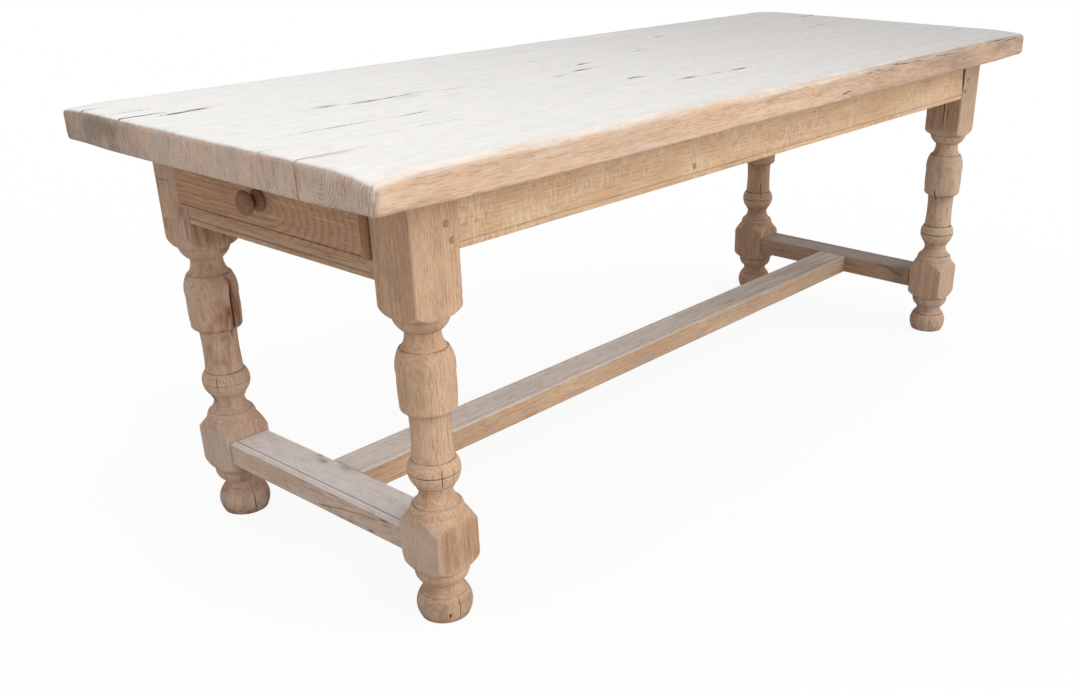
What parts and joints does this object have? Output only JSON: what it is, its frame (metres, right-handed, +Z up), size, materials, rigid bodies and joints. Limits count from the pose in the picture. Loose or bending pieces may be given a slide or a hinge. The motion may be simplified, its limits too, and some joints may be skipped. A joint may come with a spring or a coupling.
{
  "type": "refectory table",
  "caption": "Long plank-topped oak dining table on turned legs joined by an H stretcher, with a shallow drawer in one end.",
  "frame": {"origin": "on the floor under the middle of the top", "axes": "+X along the length, away from the drawer; +Y across the width; +Z up"},
  "size_m": [2.07, 0.79, 0.77],
  "materials": {
    "top_oak": "bleached, dry and matte",
    "frame_oak": "stripped, dry and matte",
    "drawer_oak": "stripped, dry and matte",
    "inner_oak": "unfinished",
    "peg_oak": "unfinished",
    "knob_oak": "dark and worn smooth",
    "iron": "dull"
  },
  "bodies": {
    "frame": {"top_plank_1": "top_oak", "top_plank_2": "top_oak", "top_plank_3": "top_oak", "top_plank_4": "top_oak", "top_plank_5": "top_oak", "leg_near": "frame_oak", "leg_left": "frame_oak", "leg_right": "frame_oak", "leg_far": "frame_oak", "front_apron": "frame_oak", "back_apron": "frame_oak", "end_apron": "frame_oak", "drawer_rail": "frame_oak", "near_stretcher": "frame_oak", "far_stretcher": "frame_oak", "centre_stretcher": "frame_oak", "cross_rail": "inner_oak", "drawer_runner_front": "inner_oak", "drawer_runner_back": "inner_oak", "drawer_guide_front": "inner_oak", "drawer_guide_back": "inner_oak", "top_tongues": "inner_oak", "top_buttons": "inner_oak", "leg_patch": "frame_oak", "apron_pegs": "peg_oak", "cross_rail_pegs": "peg_oak", "guide_nails": "iron", "button_screws": "iron"},
    "drawer": {"drawer_front": "drawer_oak", "drawer_side_front": "inner_oak", "drawer_side_back": "inner_oak", "drawer_back": "inner_oak", "drawer_bottom": "inner_oak", "drawer_knob": "knob_oak", "drawer_nails": "iron"}
  },
  "joints": [
    {"name": "drawer_slide", "type": "slide", "parent": "frame", "child": "drawer", "axis": [-1, 0, 0], "range_m": [0, 0.45]}
  ]
}
